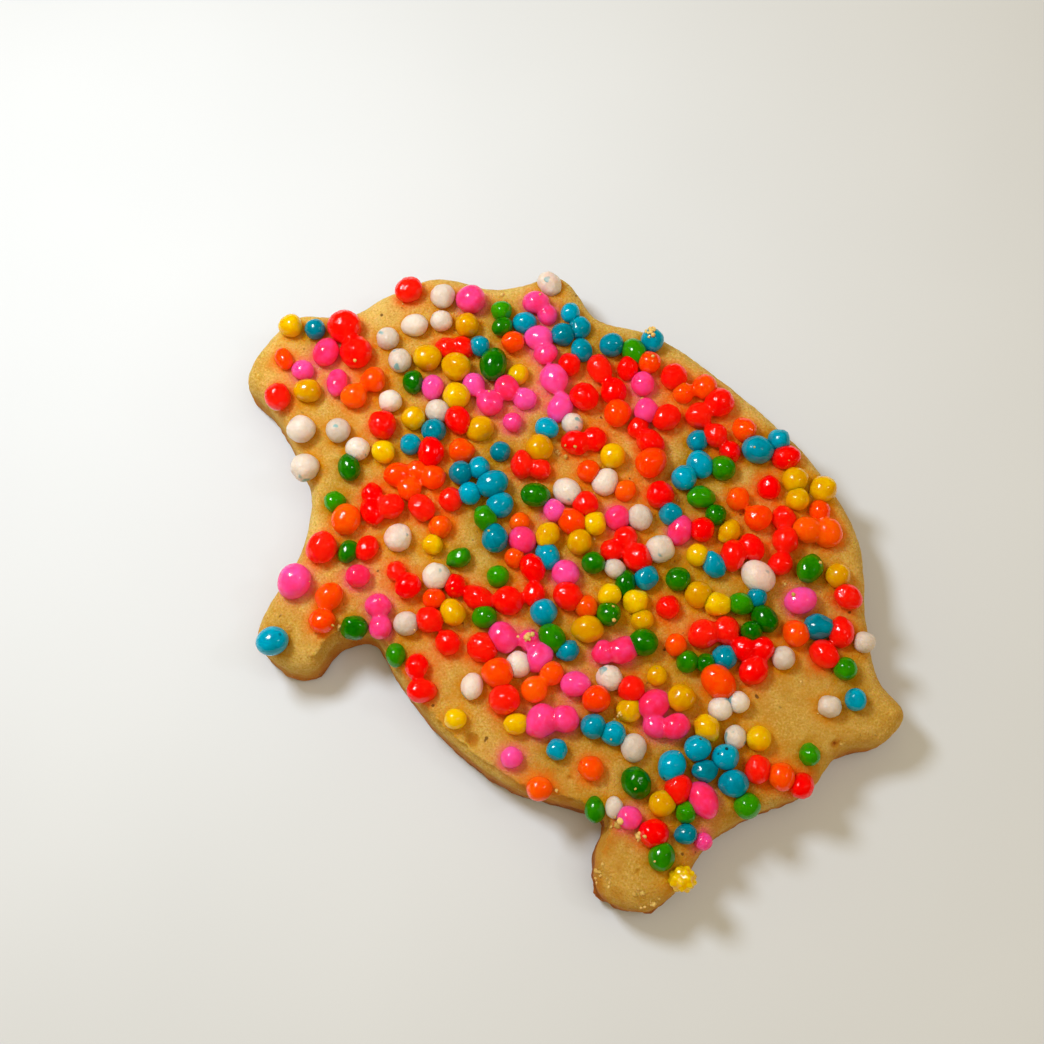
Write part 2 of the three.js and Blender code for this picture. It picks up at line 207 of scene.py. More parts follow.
# What one colour of sprinkle looks like: its share of them all, its darkest and lightest shade, how rough
# it is, how far it is bumpy (mm), how deep red, green and blue light go into it (mm), how deep the grain
# in its shading is (mm), whether touching ones have melted together, and how strongly it colours the
# dough round it, with that colour: its dye together with painted amber shade, and round the white painted
# shade only.
SPRINKLE_LOOKS = {
    "red": dict(
        share=0.22, dark=linear(250, 0, 0), light=linear(255, 34, 14), roughness=0.15,
        bumps=0.05, depth=(1.2, 0.08, 0.04), grain=0.03, melts=True,
        dye_and_shade=1.0, dye_and_shade_colour=linear(214, 110, 8),
    ),
    "orange": dict(
        share=0.2, dark=linear(255, 64, 0), light=linear(255, 98, 4), roughness=0.15,
        bumps=0.024, depth=(1.2, 0.35, 0.04), grain=0.016, melts=True,
        dye_and_shade=1.0, dye_and_shade_colour=linear(216, 124, 6),
    ),
    "pink": dict(
        share=0.12, dark=linear(255, 40, 94), light=linear(255, 84, 176), roughness=0.15,
        bumps=0.016, depth=(1.2, 0.3, 0.6), grain=0.014, melts=True,
        dye_and_shade=0.9, dye_and_shade_colour=linear(214, 110, 26),
    ),
    "yellow": dict(
        share=0.14, dark=linear(208, 152, 0), light=linear(230, 194, 0), roughness=0.15,
        bumps=0.012, depth=(1.2, 0.9, 0.06), grain=0.012, melts=False,
        dye_and_shade=0.9, dye_and_shade_colour=linear(214, 146, 0),
    ),
    "green": dict(
        share=0.16, dark=linear(14, 106, 0), light=linear(54, 152, 0), roughness=0.13,
        bumps=0.012, depth=(0.3, 1.0, 0.1), grain=0.012, melts=False,
        dye_and_shade=0.9, dye_and_shade_colour=linear(186, 132, 0),
    ),
    "teal": dict(
        share=0.16, dark=linear(0, 124, 148), light=linear(0, 162, 200), roughness=0.13,
        bumps=0.012, depth=(0.2, 1.5, 1.7), grain=0.012, melts=False,
        dye_and_shade=0.9, dye_and_shade_colour=linear(182, 126, 0),
    ),
    "white": dict(
        share=0.06, dark=linear(202, 192, 186), light=linear(226, 216, 211), roughness=0.34,
        bumps=0.03, depth=(1.4, 1.1, 0.8), grain=0.1, melts=False,
        dye_and_shade=0.9, dye_and_shade_colour=linear(208, 134, 0),
    ),
}
TWIN_MATCH = 0.45  # share of the stuck sprinkles that have the colour of the one they are stuck to
COLOUR_SEED = 25

# Where a colour gathers: colour, middle x, middle y, radius, how many times more likely in the middle.
COLOUR_DRIFTS = [
    ("teal", -8.1, 3.4, 5.5, 6), ("teal", -18.6, -5.1, 3.0, 4), ("teal", 12.3, 3.9, 3.5, 4),
    ("teal", 7.0, -13.4, 4.0, 3), ("green", 5.1, 11.4, 4.0, 3), ("green", -3.9, 1.1, 3.0, 3),
    ("green", 9.2, 1.3, 4.0, 3), ("green", 3.1, -10.6, 4.0, 2), ("white", -22.0, 12.6, 6.0, 4),
    ("white", -23.8, -2.8, 5.0, 4), ("white", 8.0, 8.3, 4.5, 4), ("white", 14.5, 7.0, 4.5, 4),
    ("white", -7.0, -4.8, 4.5, 4), ("white", 9.6, -8.6, 4.0, 3), ("red", -0.7, 16.3, 6.0, 5),
    ("red", 16.4, 10.9, 5.0, 4), ("red", -1.5, -3.5, 4.5, 4), ("red", -3.9, -10.4, 5.0, 4),
    ("red", 9.3, 13.1, 5.0, 3), ("red", 12.3, -14.5, 4.0, 3), ("orange", -0.8, 10.5, 6.5, 5),
    ("orange", -2.1, 19.5, 5.5, 4), ("orange", -26.0, 9.0, 5.0, 3), ("pink", -8.8, 14.6, 6.0, 4),
    ("pink", -28.2, 4.3, 4.5, 3), ("pink", 12.1, -10.1, 5.5, 5), ("pink", 19.4, 5.8, 4.5, 3),
    ("yellow", 2.5, 1.9, 5.0, 5), ("yellow", -20.5, 8.7, 4.0, 3), ("yellow", -16.8, -1.7, 4.5, 3),
    ("yellow", 14.3, -5.5, 4.0, 3),
]

DOUGH_GOLD = linear(201, 165, 76)
DOUGH_PALE = linear(215, 186, 104)
DOUGH_DEEP = linear(188, 139, 42)
DOUGH_BROWN = linear(180, 104, 28)
DOUGH_DARK = linear(120, 66, 22)
DOUGH_SPECK = linear(96, 58, 24)
CRUMB_PALE = linear(238, 202, 122)
SPRINKLE_SPECK = linear(20, 26, 34)
BLUE_SPOT = linear(96, 164, 176)
ROSY_SPOT = linear(228, 178, 176)
FLOOR_COLOUR = linear(214, 222, 236)
BACKDROP_COLOUR = linear(174, 167, 142)
BLACK = (0.0, 0.0, 0.0, 1.0)

# ---------- The outline, and the rule that strews the sprinkles ----------


def seeded_random(seed):
    """A small generator of numbers from 0 to 1, the same as the one that strewed the solid's sprinkles."""
    low_32_bits = 0xFFFFFFFF
    state = seed & low_32_bits

    def draw():
        nonlocal state
        state = (state + 0x6D2B79F5) & low_32_bits
        mixed = ((state ^ (state >> 15)) * (state | 1)) & low_32_bits
        mixed ^= (mixed + (mixed ^ (mixed >> 7)) * (mixed | 61)) & low_32_bits
        return (mixed ^ (mixed >> 14)) / 4294967296

    return draw


def mix(low, high, share):
    return low + (high - low) * share


def smooth_step(low, high, value):
    """0 below low, 1 above high, and a smooth rise between them."""
    share = np.clip((value - low) / (high - low), 0, 1)
    return share * share * (3 - 2 * share)


def closed_curve(steps):
    """The outline as a closed centripetal Catmull-Rom curve, in this many steps from point to point."""
    corners = np.array(SNOUT + FRONT_LEG + BELLY + REAR_LEG + RUMP + TAIL + BACK + EAR_AND_NAPE)
    count = len(corners)
    points = []
    for i in range(count):
        p0, p1, p2, p3 = corners[i - 1], corners[i], corners[(i + 1) % count], corners[(i + 2) % count]
        d0, d1, d2 = (math.sqrt(math.dist(a, b)) for a, b in ((p0, p1), (p1, p2), (p2, p3)))
        leave = ((p1 - p0) / d0 - (p2 - p0) / (d0 + d1) + (p2 - p1) / d1) * d1
        arrive = ((p2 - p1) / d1 - (p3 - p1) / (d1 + d2) + (p3 - p2) / d2) * d1
        for step in range(steps):
            t = step / steps
            square = (-3 * p1 + 3 * p2 - 2 * leave - arrive) * t * t
            cube = (2 * p1 - 2 * p2 + leave + arrive) * t**3
            points.append(p1 + leave * t + square + cube)
    return np.array(points)


def centred(points, box_points):
    """Points moved so that the middle of the other points' box comes to the origin."""
    return points - (box_points.min(0) + box_points.max(0)) / 2


def locate(place, outline):
    """Whether a place is inside the outline, the nearest point of the outline, and how far that is."""
    start = outline
    end = np.roll(outline, -1, axis=0)
    along = end - start
    share = ((place - start) * along).sum(1) / (along * along).sum(1)
    feet = start + along * np.clip(share, 0, 1)[:, None]
    distances = np.hypot(*(feet - place).T)
    nearest = int(distances.argmin())
    crosses = (start[:, 1] > place[1]) != (end[:, 1] > place[1])
    rise = np.where(crosses, end[:, 1] - start[:, 1], 1)
    crossing_x = start[:, 0] + (place[1] - start[:, 1]) / rise * along[:, 0]
    inside = bool((crosses & (place[0] < crossing_x)).sum() % 2)
    return inside, feet[nearest], float(distances[nearest])


def gap_at(x, y):
    """How far apart the sprinkles lie at a place, over the sum of their radii."""
    thinness = max(1 - math.hypot(x - px, y - py) / radius for px, py, radius in THIN_PATCHES)
    return mix(CLOSE_GAP, WIDE_GAP, max(0, thinness))


def lay_by_hand():
    """The sprinkles that have a place of their own in the lists above."""
    laid = (
        FRONT_FOOT_SPRINKLES + BELLY_EDGE_SPRINKLES + REAR_FOOT_SPRINKLES
        + FACE_SPRINKLES + HEAD_AND_BACK_SPRINKLES + TAIL_SPRINKLES
    )
    return [
        {"x": x, "y": y, "radius": radius, "stretch": stretch, "heading": math.radians(degrees),
         "sunk": LAID_SUNK, "colour": colour, "twin": None}
        for colour, x, y, radius, stretch, degrees in laid
    ]


def strew_sprinkles(outline):
    """Every sprinkle's place and size, drawn in the same order as for the solid."""
    random = seeded_random(SPRINKLE_SEED)
    low, high = outline.min(0), outline.max(0)
    sprinkles = lay_by_hand()
    for _ in range(MOST_TRIES):
        if len(sprinkles) == SPRINKLE_COUNT:
            break
        radius = mix(SMALL_RADIUS, LARGE_RADIUS, (random() + random()) / 2)
        stretch = mix(1, LONGEST_STRETCH, random() ** 2)
        heading = random() * math.pi
        sunk = mix(LEAST_SUNK, MOST_SUNK, random())
        margin = EDGE_STRAY_MARGIN if random() < STRAY_SHARE else EDGE_MARGIN
        x = mix(low[0], high[0], random())
        y = mix(low[1], high[1], random())
        twin = sprinkles[-1] if random() < TWIN_SHARE else None
        if twin:
            direction = random() * 2 * math.pi
            reach = TWIN_GAP * (radius + twin["radius"])
            x = twin["x"] + reach * math.cos(direction)
            y = twin["y"] + reach * math.sin(direction)
        sprinkle = {"x": x, "y": y, "radius": radius, "stretch": stretch, "heading": heading,
                    "sunk": sunk, "colour": None, "twin": twin}
        if fits(sprinkle, margin, sprinkles, outline):
            sprinkles.append(sprinkle)
    return sprinkles


def fits(sprinkle, margin, others, outline):
    """Whether a sprinkle lies inside the box, clear of the others and far enough in from the outline."""
    x, y, radius = sprinkle["x"], sprinkle["y"], sprinkle["radius"]
    reach = radius * sprinkle["stretch"]
    low, high = outline.min(0), outline.max(0)
    if x - reach < low[0] or x + reach > high[0] or y - reach < low[1] or y + reach > high[1]:
        return False
    gap = gap_at(x, y)
    for other in others:
        least = (LEAST_TWIN_GAP if other is sprinkle["twin"] else gap) * (radius + other["radius"])
        if math.hypot(x - other["x"], y - other["y"]) < least:
            return False
    inside, _, distance = locate(np.array([x, y]), outline)
    return inside and distance >= margin


def sprinkle_centre(sprinkle, outline):
    """Where a sprinkle's middle lies: straight over the flat top, and leaning out on the rounded edge."""
    place = np.array([sprinkle["x"], sprinkle["y"]])
    _, nearest, distance = locate(place, outline)
    lean = max(0, 1 - distance / TOP_ROUND)
    level = math.sqrt(1 - lean * lean)
    rise = sprinkle["radius"] * (1 - 2 * sprinkle["sunk"])
    x, y = place + (nearest - place) / distance * rise * lean
    return np.array([x, y, DOUGH_HEIGHT - TOP_ROUND * (1 - level) + rise * level])


def colour_sprinkles(sprinkles):
    """Gives each sprinkle without a colour one, by the shares of the colours and where they gather."""
    random = seeded_random(COLOUR_SEED)
    for sprinkle in sprinkles:
        match, pick = random(), random()
        if sprinkle["colour"]:
            continue
        if sprinkle["twin"] and match < TWIN_MATCH:
            sprinkle["colour"] = sprinkle["twin"]["colour"]
            continue
        weights = {name: look["share"] for name, look in SPRINKLE_LOOKS.items()}
        for name, x, y, radius, times in COLOUR_DRIFTS:
            away = math.hypot(sprinkle["x"] - x, sprinkle["y"] - y) / radius
            weights[name] *= mix(times, 1, min(1, away))
        bounds = np.cumsum(list(weights.values()))
        chosen = int(np.searchsorted(bounds, pick * bounds[-1]))
        sprinkle["colour"] = list(weights)[chosen]


# ---------- Meshes ----------


def noise_at(points, wavelength, seed):
    """Smooth noise, mostly from -0.7 to 0.7, at each point, with bumps about a wavelength apart."""
    shift = Vector((17.3, 5.9, 11.7)) * seed
    return np.array([noise.noise(Vector(point) / wavelength + shift) for point in points])


def make_object(name, points, faces):
    """A new object with a mesh of these faces and points, which are given in millimetres."""
    mesh = bpy.data.meshes.new(name)
    mesh.from_pydata((np.asarray(points) * MM).tolist(), [], faces)
    piece = bpy.data.objects.new(name, mesh)
    bpy.context.scene.collection.objects.link(piece)
    return piece


def remesh(piece, voxel):
    """Turns a piece into one closed skin of even small faces, which melts what overlaps together."""
    modifier = piece.modifiers.new("remesh", "REMESH")
    modifier.mode = "VOXEL"
    modifier.voxel_size = voxel * MM
    bpy.context.view_layer.update()
    evaluated = piece.evaluated_get(bpy.context.evaluated_depsgraph_get())
    mesh = bpy.data.meshes.new_from_object(evaluated)
    piece.modifiers.clear()
    old = piece.data
    piece.data = mesh
    bpy.data.meshes.remove(old)
    mesh.name = piece.name


def read_vectors(items, name):
    """One vector of each of a mesh's items, as rows of three numbers."""
    values = np.empty(len(items) * 3, np.float32)
    items.foreach_get(name, values)
    return values.reshape(-1, 3).astype(float)


def get_points(piece):
    """The places of a piece's vertices, in millimetres."""
    return read_vectors(piece.data.vertices, "co") / MM


def get_normals(piece):
    return read_vectors(piece.data.vertex_normals, "vector")


def set_points(piece, points):
    """Puts a piece's vertices at these places, kept inside the solid's box."""
    inside = np.clip(points, BOX_LOW, BOX_HIGH)
    piece.data.vertices.foreach_set("co", (inside * MM).astype(np.float32).ravel())
    piece.data.update()


def relax(piece, rounds, strength):
    """Evens a piece's skin out, by moving each vertex towards the middle of its neighbours."""
    edges = np.empty(len(piece.data.edges) * 2, np.int32)
    piece.data.edges.foreach_get("vertices", edges)
    start, end = edges.reshape(-1, 2).T
    points = get_points(piece)
    count = np.bincount(np.concatenate([start, end]), minlength=len(points))[:, None]
    for _ in range(rounds):
        total = np.zeros_like(points)
        np.add.at(total, start, points[end])
        np.add.at(total, end, points[start])
        points += (total / count - points) * strength
    set_points(piece, points)


def set_values(piece, name, values):
    """Keeps a number for each vertex, for the material to read."""
    attribute = piece.data.attributes.new(name, "FLOAT", "POINT")
    attribute.data.foreach_set("value", values.astype(np.float32))


def set_colours(piece, name, colours):
    """Keeps an RGBA colour for each vertex, for the material to read."""
    attribute = piece.data.attributes.new(name, "FLOAT_COLOR", "POINT")
    attribute.data.foreach_set("color", colours.astype(np.float32).ravel())


def finish_piece(piece, material):
    """Gives a piece its smooth shading and its material, and puts it in the solid's place."""
    piece.data.shade_smooth()
    piece.data.materials.clear()
    piece.data.materials.append(material)
    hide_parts(NODE)
    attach(piece, BODY)


# ---------- Dough ----------

DOUGH_VOXEL = 0.246  # about the size of the faces of its skin
# Bumps all over the dough: their wavelength, their height on top and on the wall, and a seed.
DOUGH_BUMPS = [(8.0, 0.16, 0.16, 1), (2.3, 0.07, 0.07, 2), (1.0, 0.04, 0.09, 3), (0.55, 0.035, 0.07, 4)]
CHIP_PLACES = [(19.6, -23.0, 2.6), (23.2, -21.8, 2.0)]  # crumbly lower rim of the rear foot: x, y, radius
CHIP_TOP = 2.6  # chips reach no higher than this
CHIP_DEPTH = 0.5  # about how far they go in and stand out
RING_HEIGHT = 0.1  # how far the dough is pressed up round a sprinkle
RING_REACH = (0.95, 1.45)  # from where to where that ring fades, over the sprinkle's radius
TOP_SAG = 0.06  # how far the middle of the top lies lower than its edge
PITS = [  # x, y, radius, depth
    (3.1, -18.3, 1.0, 0.5), (-1.2, 12.2, 0.3, 0.25), (21.0, -19.9, 0.3, 0.25), (-24.6, 15.2, 0.35, 0.2),
    (13.6, 18.6, 0.4, 0.2), (-15.6, -19.0, 0.3, 0.15), (29.8, -1.4, 0.4, 0.2), (12.0, -16.4, 0.35, 0.2),
]
PORE_COUNT = 240  # small pits strewn over the whole skin
PORE_SEED = 41
PORE_RADII = (0.28, 0.6)
PORE_DEPTHS = (0.06, 0.16)

# How much browner the dough is in some places, from 0, pale gold, to 1, dark brown, from baking, and in
# some places from painted shade.
WALL_BROWNING = 0.7  # at the wall's foot
RIM_BROWNING = 0.06  # along the edge
REAR_FOOT_SHADE = 0.34  # painted shade along the edge of the rear foot, as more browning there
UNDERSIDE_BROWNING = 0.22
REARWARD_BROWNING_AND_SHADE = 0.22  # from the snout and the back towards the rear foot and the tail: partly uneven baking, partly painted shade on the side turned from the key lamp
PATCHY_BROWNING = 0.12  # in uneven patches, more or less
# painted shade in the pits, as darker brown over their floor
PIT_SHADE = 0.7

# Dye that bleeds from the sprinkles into the dough, together with painted shade: the dough next to and
# among the sprinkles is made amber and darker where shade falls. Round the white ones it is painted shade
# only.
DYE_AND_SHADE_REACH = 0.44  # how far from a sprinkle its dye and painted shade fade to about a third
DYE_AND_SHADE_STRENGTH = 1.6  # how much dye and painted shade there is next to a sprinkle, before it fades
HALO_REACH = 0.24  # the same two for the halo close round it, of dye, painted shade and painted glow
HALO_STRENGTH = 3.0
HALO_TINT = 0.7  # how far the halo of one that melts takes its own colour, as a painted glow of light through it


def side_profile():
    """How far in from the outline the dough's side lies, and how high, from the underside to the top."""
    profile = [(RIM_CHAMFER, 0), (RIM_CHAMFER * 0.3, RIM_CHAMFER * 0.3), (0, RIM_CHAMFER)]
    for step in range(ROUND_STEPS + 1):
        angle = step / ROUND_STEPS * math.pi / 2
        inset = WALL_LEAN + (TOP_ROUND - WALL_LEAN) * (1 - math.cos(angle))
        profile.append((inset, DOUGH_HEIGHT - TOP_ROUND * (1 - math.sin(angle))))
    return profile


def make_dough_blank(outline):
    """The dough's smooth form: a ring of points for each step of the profile, and two flat caps."""
    count = len(outline)
    tangents = np.roll(outline, -1, axis=0) - np.roll(outline, 1, axis=0)
    outward = np.stack([tangents[:, 1], -tangents[:, 0]], axis=1)
    outward /= np.linalg.norm(outward, axis=1)[:, None]
    profile = side_profile()
    points = np.concatenate([
        np.column_stack([outline - outward * inset, np.full(count, height)]) for inset, height in profile
    ])
    faces = [tuple(reversed(range(count)))]
    for ring in range(len(profile) - 1):
        low = ring * count
        for i in range(count):
            after = (i + 1) % count
            faces.append((low + i, low + after, low + count + after, low + count + i))
    top = (len(profile) - 1) * count
    faces.append(tuple(range(top, top + count)))
    return make_object("dough", points, faces)


def edge_distances(points, outline):
    """How far each point lies from the outline, seen from above."""
    tree = KDTree(len(outline))
    for i, (x, y) in enumerate(outline):
        tree.insert((x, y, 0), i)
    tree.balance()
    return np.array([tree.find((x, y, 0))[2] for x, y, _ in points])


def nearness(points, x, y, radius):
    """1 at a place seen from above, falling smoothly to 0 at a radius round it."""
    away = np.hypot(points[:, 0] - x, points[:, 1] - y) / radius
    return 1 - smooth_step(0, 1, away)


def pit_depths(points):
    """How deep the skin goes in at each point, for the pits that show and the small pores."""
    depths = np.zeros(len(points))
    for x, y, radius, depth in PITS:
        depths += depth * nearness(points, x, y, radius) * (points[:, 2] > DOUGH_HEIGHT / 2)
    random = np.random.default_rng(PORE_SEED)
    middles = points[random.integers(0, len(points), PORE_COUNT)]
    for middle, size in zip(middles, random.random(PORE_COUNT)):
        away = np.linalg.norm(points - middle, axis=1) / mix(*PORE_RADII, size)
        depths += mix(*PORE_DEPTHS, size) * (1 - smooth_step(0, 1, away))
    return depths


def dough_relief(points, edge, sprinkles):
    """How far the skin stands out at each point: undulation, sandy crumb, chips, pits and pressed rings."""
    height = points[:, 2]
    wall = 1 - smooth_step(2.4, 4.6, height)
    relief = np.zeros(len(points))
    for wavelength, top_height, wall_height, seed in DOUGH_BUMPS:
        relief += mix(top_height, wall_height, wall) * noise_at(points, wavelength, seed)
    chipped = sum(nearness(points, x, y, radius) for x, y, radius in CHIP_PLACES) * (height < CHIP_TOP)
    rough = noise_at(points, 1.1, 5) + 0.8 * noise_at(points, 0.6, 6)
    relief += chipped * CHIP_DEPTH * (rough - 0.3)
    for sprinkle in sprinkles:
        away = np.linalg.norm(points - sprinkle["centre"], axis=1) / sprinkle["radius"]
        relief += RING_HEIGHT * (1 - smooth_step(*RING_REACH, away))
    relief -= pit_depths(points)
    return relief - TOP_SAG * smooth_step(4, 10, edge) * (height > DOUGH_HEIGHT / 2)


def bake_and_shade_amounts(points, edge):
    """How brown each point is, from baking and from painted shade: most underneath and at the wall's foot,
    and in the pits, where it is painted shade.
    """
    height = points[:, 2]
    patchy = 0.5 + noise_at(points, 5.0, 8) + 0.5 * noise_at(points, 1.6, 9)
    low_wall = 1 - smooth_step(0.2, 5.2, height)
    rim = 1 - smooth_step(0.3, 3.4, edge)
    rear_foot = smooth_step(8, 22, -points[:, 1]) * smooth_step(4, 14, points[:, 0])
    # Partly uneven baking, partly painted shade: darker towards the side turned from the key lamp.
    rearward = smooth_step(-18, 18, 0.8 * points[:, 0] - 0.6 * points[:, 1])
    # The rim's browning, with painted shade added along the edge of the rear foot.
    rim_browning_and_shade = rim * (RIM_BROWNING + REAR_FOOT_SHADE * rear_foot)
    amounts = WALL_BROWNING * low_wall + rim_browning_and_shade * (0.5 + 0.5 * patchy)
    amounts += UNDERSIDE_BROWNING * (height < 0.3) + REARWARD_BROWNING_AND_SHADE * rearward
    amounts += PATCHY_BROWNING * (patchy - 0.5)
    # Painted shade: the pits are darkened in the colour, as darker brown.
    for x, y, radius, _ in PITS:
        amounts += PIT_SHADE * nearness(points, x, y, radius) * (height > DOUGH_HEIGHT / 2)
    return np.clip(amounts, 0, 1)


def dye_and_shade_colours(points, sprinkles):
    """The colour that each point of the dough takes from the sprinkles round it, and how much of it: their
    dye, with painted amber shade next to them and a painted glow round those that melt.
    """
    colours = np.zeros((len(points), 3))
    total = np.zeros(len(points))
    uneven = 1 + 0.5 * noise_at(points, 1.3, 11)
    for sprinkle in sprinkles:
        look = SPRINKLE_LOOKS[sprinkle["colour"]]
        away = np.linalg.norm(points - sprinkle["centre"], axis=1) - sprinkle["radius"]
        away = np.clip(away, 0, None)
        # Painted shade with the dye: near each sprinkle the dough is coloured amber and darker, where its
        # shade falls.
        halo = look["dye_and_shade"] * HALO_STRENGTH * np.exp(-away / HALO_REACH)
        spread = look["dye_and_shade"] * DYE_AND_SHADE_STRENGTH * np.exp(-away / (DYE_AND_SHADE_REACH * uneven))
        dye_and_shade_colour = np.array(look["dye_and_shade_colour"][:3])
        # Painted glow: round a sprinkle that melts, the halo takes its light colour, as light coming
        # through it; round the others it is painted amber shade.
        tint = HALO_TINT if look["melts"] else 0
        halo_colour = mix(dye_and_shade_colour, np.array(look["light"][:3]), tint)
        colours += spread[:, None] * dye_and_shade_colour + halo[:, None] * halo_colour
        total += spread + halo
    colours /= np.maximum(total, 1e-6)[:, None]
    amounts = 1 - np.exp(-total)
    return np.column_stack([colours, amounts])


def make_dough(outline, sprinkles):
    """The dough as one skin, with its relief, its browning with painted shade in places, and its dye and
    painted shade round the sprinkles.
    """
    dough = make_dough_blank(outline)
    remesh(dough, DOUGH_VOXEL)
    blank = get_points(dough)
    edge = edge_distances(blank, outline)
    relief = dough_relief(blank, edge, sprinkles)
    underside = 1 - smooth_step(0, RIM_CHAMFER, blank[:, 2])
    relief = mix(relief, -0.5 * np.abs(relief), underside)
    points = blank + get_normals(dough) * relief[:, None]
    points[:, 2] = np.maximum(points[:, 2], 0)
    set_points(dough, points)
    set_values(dough, "bake_and_shade", bake_and_shade_amounts(blank, edge))
    set_colours(dough, "dye_and_shade", dye_and_shade_colours(blank, sprinkles))
    finish_piece(dough, dough_material())
    return dough


# ---------- Sprinkles ----------

SPRINKLE_VOXEL = 0.142  # about the size of the faces of those that melt together
LOOKS_SEED = 5
LUMPINESS = (0.05, 0.15)  # how lumpy the most even and the most uneven one are, over the radius
EGG_SHAPE = 0.08  # the most by which one end is drawn out and the other flattened
MOST_TIP = 0.3  # the most that one leans along its length, in radians
MELTED_SIZE = 1.04  # over the solid's, to make up for what melting and evening out takes away
WHOLE_SIZE = 0.98  # over the solid's, so that those that only touch stay apart
SPIKE_COUNT = 26
SPIKE_REACH = 0.4  # radians from a crystal's tip to its foot
SPIKE_HEIGHT = 0.26  # share of the sprinkle's radius


def ball_mesh(subdivisions):
    """The vertices and faces of a unit ball of triangles."""
    ball = bmesh.new()
    bmesh.ops.create_icosphere(ball, subdivisions=subdivisions, radius=1)
    points = np.array([vertex.co for vertex in ball.verts])
    faces = np.array([[vertex.index for vertex in face.verts] for face in ball.faces])
    ball.free()
    return points, faces


def spikes(directions):
    """How far crystals stand out of a unit ball in these directions, even all round it."""
    height = np.zeros(len(directions))
    for i in range(SPIKE_COUNT):
        z = 1 - (2 * i + 1) / SPIKE_COUNT
        turn = math.pi * (1 + math.sqrt(5)) * i
        ring = math.sqrt(1 - z * z)
        tip = np.array([ring * math.cos(turn), ring * math.sin(turn), z])
        angle = np.arccos(np.clip(directions @ tip, -1, 1))
        height += SPIKE_HEIGHT * np.clip(1 - angle / SPIKE_REACH, 0, 1)
    return height


def sprinkle_points(sprinkle, ball, random):
    """The skin of one sprinkle: a ball drawn out, dented and a little egg-shaped."""
    offset = random.random(3) * 100
    lumps = np.array([
        noise.noise(Vector(point * 1.1 + offset)) + 0.35 * noise.noise(Vector(point * 2.6 - offset))
        for point in ball
    ])
    lumpiness = mix(*LUMPINESS, random.random() ** 3)
    swell = 1 + lumpiness * lumps
    if sprinkle.get("spiked"):
        swell += spikes(ball) - SPIKE_HEIGHT / 2
    skin = ball * swell[:, None]
    skin[:, 0] *= 1 + random.uniform(-EGG_SHAPE, EGG_SHAPE) * ball[:, 0]
    melts = SPRINKLE_LOOKS[sprinkle["colour"]]["melts"]
    skin *= sprinkle["radius"] * (MELTED_SIZE if melts else WHOLE_SIZE)
    skin[:, 0] *= sprinkle["stretch"]
    tilt = Matrix.Rotation(random.uniform(-MOST_TIP, MOST_TIP), 3, "Y")
    turn = Matrix.Rotation(sprinkle["heading"], 3, "Z")
    return skin @ np.array(turn @ tilt).T + sprinkle["centre"]


def blend_shades(points, sprinkles):
    """Each point's own shade, taken from its sprinkle and running smoothly between two that have fused."""
    centres = np.array([sprinkle["centre"] for sprinkle in sprinkles])
    radii = np.array([sprinkle["radius"] for sprinkle in sprinkles])
    shades = np.array([sprinkle["shade"] for sprinkle in sprinkles])
    blended = np.empty(len(points))
    step = 20000
    for start in range(0, len(points), step):
        part = points[start:start + step]
        away = np.linalg.norm(part[:, None] - centres[None], axis=2) / radii
        weights = np.exp(-8 * (away**2 - (away**2).min(1)[:, None]))
        blended[start:start + step] = (weights * shades).sum(1) / weights.sum(1)
    return blended


def make_sprinkles(colour, sprinkles, random):
    """All sprinkles of one colour as one piece."""
    look = SPRINKLE_LOOKS[colour]
    ball, ball_faces = ball_mesh(4)
    points = np.concatenate([sprinkle_points(sprinkle, ball, random) for sprinkle in sprinkles])
    faces = np.concatenate([ball_faces + i * len(ball) for i in range(len(sprinkles))])
    piece = make_object("sprinkles_" + colour, points, faces.tolist())
    if look["melts"]:
        remesh(piece, SPRINKLE_VOXEL)
        relax(piece, 2, 0.4)
    skin = get_points(piece)
    bumps = noise_at(skin, 0.5, 21) + 0.6 * noise_at(skin, 0.28, 22)
    set_points(piece, skin + get_normals(piece) * (bumps * look["bumps"])[:, None])
    set_values(piece, "shade", blend_shades(skin, sprinkles))
    finish_piece(piece, sprinkle_material(colour, look))
    return piece


def make_all_sprinkles(sprinkles):
    """The pieces of all colours, after each sprinkle has got its own shade."""
    random = np.random.default_rng(LOOKS_SEED)
    for sprinkle in sprinkles:
        sprinkle["shade"] = random.random()
    for x, y in SPIKED_PLACES:
        nearest = min(sprinkles, key=lambda s: math.hypot(s["x"] - x, s["y"] - y))
        nearest["spiked"] = True
    return [
        make_sprinkles(colour, [s for s in sprinkles if s["colour"] == colour], random)
        for colour in SPRINKLE_LOOKS
    ]


# ---------- Crumbs ----------

CRUMB_SEED = 12
LOOSE_CRUMBS = 70
CRUMB_RADII = (0.07, 0.17)
HEAP_CRUMB_SIZE = 1.5  # how much larger the crumbs in a heap are
# Heaps of crumbs: middle x, middle y, spread, number.
CRUMB_HEAPS = [
    (-3.7, 22.2, 0.7, 12), (2.4, -8.2, 0.6, 8), (-12.2, -16.6, 0.35, 5), (17.4, -17.6, 0.5, 7),
    (19.6, -17.5, 0.6, 8), (18.6, -22.2, 1.2, 14), (22.8, -21.6, 1.0, 10), (-4.6, 8.0, 0.5, 6),
    (12.7, -9.8, 0.4, 4),
]


